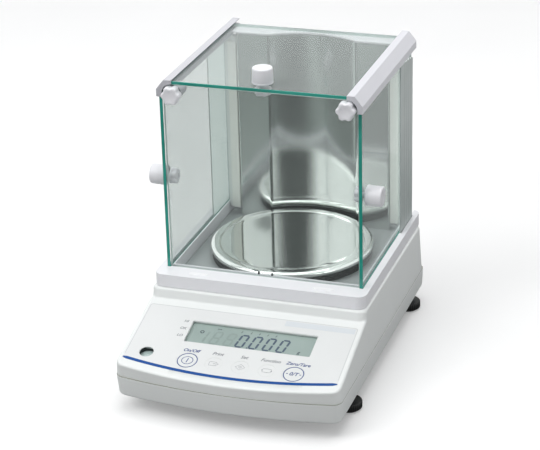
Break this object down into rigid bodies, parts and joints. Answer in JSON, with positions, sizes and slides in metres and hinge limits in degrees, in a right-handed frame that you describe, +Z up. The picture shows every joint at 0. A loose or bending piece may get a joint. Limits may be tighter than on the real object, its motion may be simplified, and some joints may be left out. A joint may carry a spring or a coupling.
{
  "type": "laboratory precision balance",
  "caption": "Laboratory balance with a sloping key and display console, a round steel pan and a glass draft shield with sliding top and side doors.",
  "frame": {"origin": "on the table under the middle of the balance's overall box", "axes": "+X to the right when facing the console, +Y to the back, +Z up"},
  "size_m": [0.2112, 0.299, 0.2809],
  "materials": {
    "black_plastic": "satin black",
    "case_plastic": "satin off-white moulding",
    "cast_aluminium": "as machined",
    "circuit_board": "lacquered board",
    "clear_plastic": "clear, polished",
    "fastener_steel": "plated",
    "float_glass": "clear float glass with green edges",
    "key_film": "printed film, satin",
    "lcd_glass": "grey-green liquid crystal cell",
    "panel_film": "printed film, satin",
    "post_plastic": "matte grey-green",
    "seal_strip": "matte cream",
    "shield_plastic": "satin white moulding",
    "stainless_steel": "bright polished"
  },
  "bodies": {
    "base": {"lower_case": "case_plastic", "upper_case": "case_plastic", "panel_film": "panel_film", "lcd_window": "clear_plastic", "lcd_module": "lcd_glass", "key_board": "circuit_board", "level_cup": "black_plastic", "level_vial": "clear_plastic", "windshield_tray": "shield_plastic", "front_glass": "float_glass", "left_rail": "shield_plastic", "left_corner_boss": "shield_plastic", "right_rail": "shield_plastic", "right_corner_boss": "shield_plastic", "back_panel": "stainless_steel", "back_cap": "shield_plastic", "left_rear_post": "post_plastic", "left_seal_strip": "seal_strip", "left_door_guide": "post_plastic", "right_rear_post": "post_plastic", "right_seal_strip": "seal_strip", "right_door_guide": "post_plastic", "draft_ring": "black_plastic", "chassis": "cast_aluminium", "fixed_block": "cast_aluminium", "upper_beam": "cast_aluminium", "lower_beam": "cast_aluminium", "lever": "cast_aluminium", "tuning_fork_sensor": "stainless_steel", "main_board": "circuit_board", "power_jack": "black_plastic", "serial_port": "fastener_steel", "front_left_case_screw": "fastener_steel", "front_right_case_screw": "fastener_steel", "rear_left_case_screw": "fastener_steel", "rear_right_case_screw": "fastener_steel"},
    "top_door": {"top_door_glass": "float_glass", "top_door_pull": "shield_plastic", "top_pull_nut": "shield_plastic"},
    "left_door": {"left_door_glass": "float_glass", "left_door_pull": "shield_plastic", "left_pull_nut": "shield_plastic"},
    "right_door": {"right_door_glass": "float_glass", "right_door_pull": "shield_plastic", "right_pull_nut": "shield_plastic"},
    "load_carrier": {"pan_support": "cast_aluminium", "live_block": "cast_aluminium"},
    "pan": {"weighing_pan": "stainless_steel"},
    "key_on_off": {"key_on_off": "key_film"},
    "key_print": {"key_print": "key_film"},
    "key_set": {"key_set": "key_film"},
    "key_function": {"key_function": "key_film"},
    "key_zero_tare": {"key_zero_tare": "key_film"},
    "front_left_foot": {"front_left_foot": "black_plastic"},
    "front_right_foot": {"front_right_foot": "black_plastic"},
    "rear_left_foot": {"rear_left_foot": "black_plastic"},
    "rear_right_foot": {"rear_right_foot": "black_plastic"},
    "left_corner_knob": {"left_corner_knob": "shield_plastic"},
    "right_corner_knob": {"right_corner_knob": "shield_plastic"}
  },
  "joints": [
    {"name": "top_door_slide", "type": "slide", "parent": "base", "child": "top_door", "axis": [0, 1, 0], "range_m": [0, 0.12]},
    {"name": "left_door_slide", "type": "slide", "parent": "base", "child": "left_door", "axis": [0, 1, 0], "range_m": [0, 0.1]},
    {"name": "right_door_slide", "type": "slide", "parent": "base", "child": "right_door", "axis": [0, 1, 0], "range_m": [0, 0.1]},
    {"name": "load_travel", "type": "slide", "parent": "base", "child": "load_carrier", "axis": [0, 0, -1], "range_m": [0, 0.0004], "stiffness_N_per_m": 40000, "springref_m": -0.0002},
    {"name": "pan_lift", "type": "slide", "parent": "load_carrier", "child": "pan", "axis": [0, 0, 1], "range_m": [0, 0.06]},
    {"name": "key_on_off_press", "type": "slide", "parent": "base", "child": "key_on_off", "axis": [0, 0.2622, -0.965], "range_m": [0, 0.0004], "stiffness_N_per_m": 3000, "springref_m": -0.0002},
    {"name": "key_print_press", "type": "slide", "parent": "base", "child": "key_print", "axis": [0, 0.2622, -0.965], "range_m": [0, 0.0004], "stiffness_N_per_m": 3000, "springref_m": -0.0002},
    {"name": "key_set_press", "type": "slide", "parent": "base", "child": "key_set", "axis": [0, 0.2622, -0.965], "range_m": [0, 0.0004], "stiffness_N_per_m": 3000, "springref_m": -0.0002},
    {"name": "key_function_press", "type": "slide", "parent": "base", "child": "key_function", "axis": [0, 0.2622, -0.965], "range_m": [0, 0.0004], "stiffness_N_per_m": 3000, "springref_m": -0.0002},
    {"name": "key_zero_tare_press", "type": "slide", "parent": "base", "child": "key_zero_tare", "axis": [0, 0.2622, -0.965], "range_m": [0, 0.0004], "stiffness_N_per_m": 3000, "springref_m": -0.0002},
    {"name": "front_left_foot_turn", "type": "hinge", "parent": "base", "child": "front_left_foot", "pos_m": [-0.0915, -0.0813, 0.004], "axis": [0, 0, 1], "continuous": true},
    {"name": "front_right_foot_turn", "type": "hinge", "parent": "base", "child": "front_right_foot", "pos_m": [0.0915, -0.0813, 0.004], "axis": [0, 0, 1], "continuous": true},
    {"name": "rear_left_foot_turn", "type": "hinge", "parent": "base", "child": "rear_left_foot", "pos_m": [-0.0915, 0.1223, 0.004], "axis": [0, 0, 1], "continuous": true},
    {"name": "rear_right_foot_turn", "type": "hinge", "parent": "base", "child": "rear_right_foot", "pos_m": [0.0915, 0.1223, 0.004], "axis": [0, 0, 1], "continuous": true},
    {"name": "left_corner_knob_turn", "type": "hinge", "parent": "base", "child": "left_corner_knob", "pos_m": [-0.078, -0.0298, 0.254], "axis": [0, 1, 0], "continuous": true},
    {"name": "right_corner_knob_turn", "type": "hinge", "parent": "base", "child": "right_corner_knob", "pos_m": [0.078, -0.0298, 0.254], "axis": [0, 1, 0], "continuous": true}
  ]
}
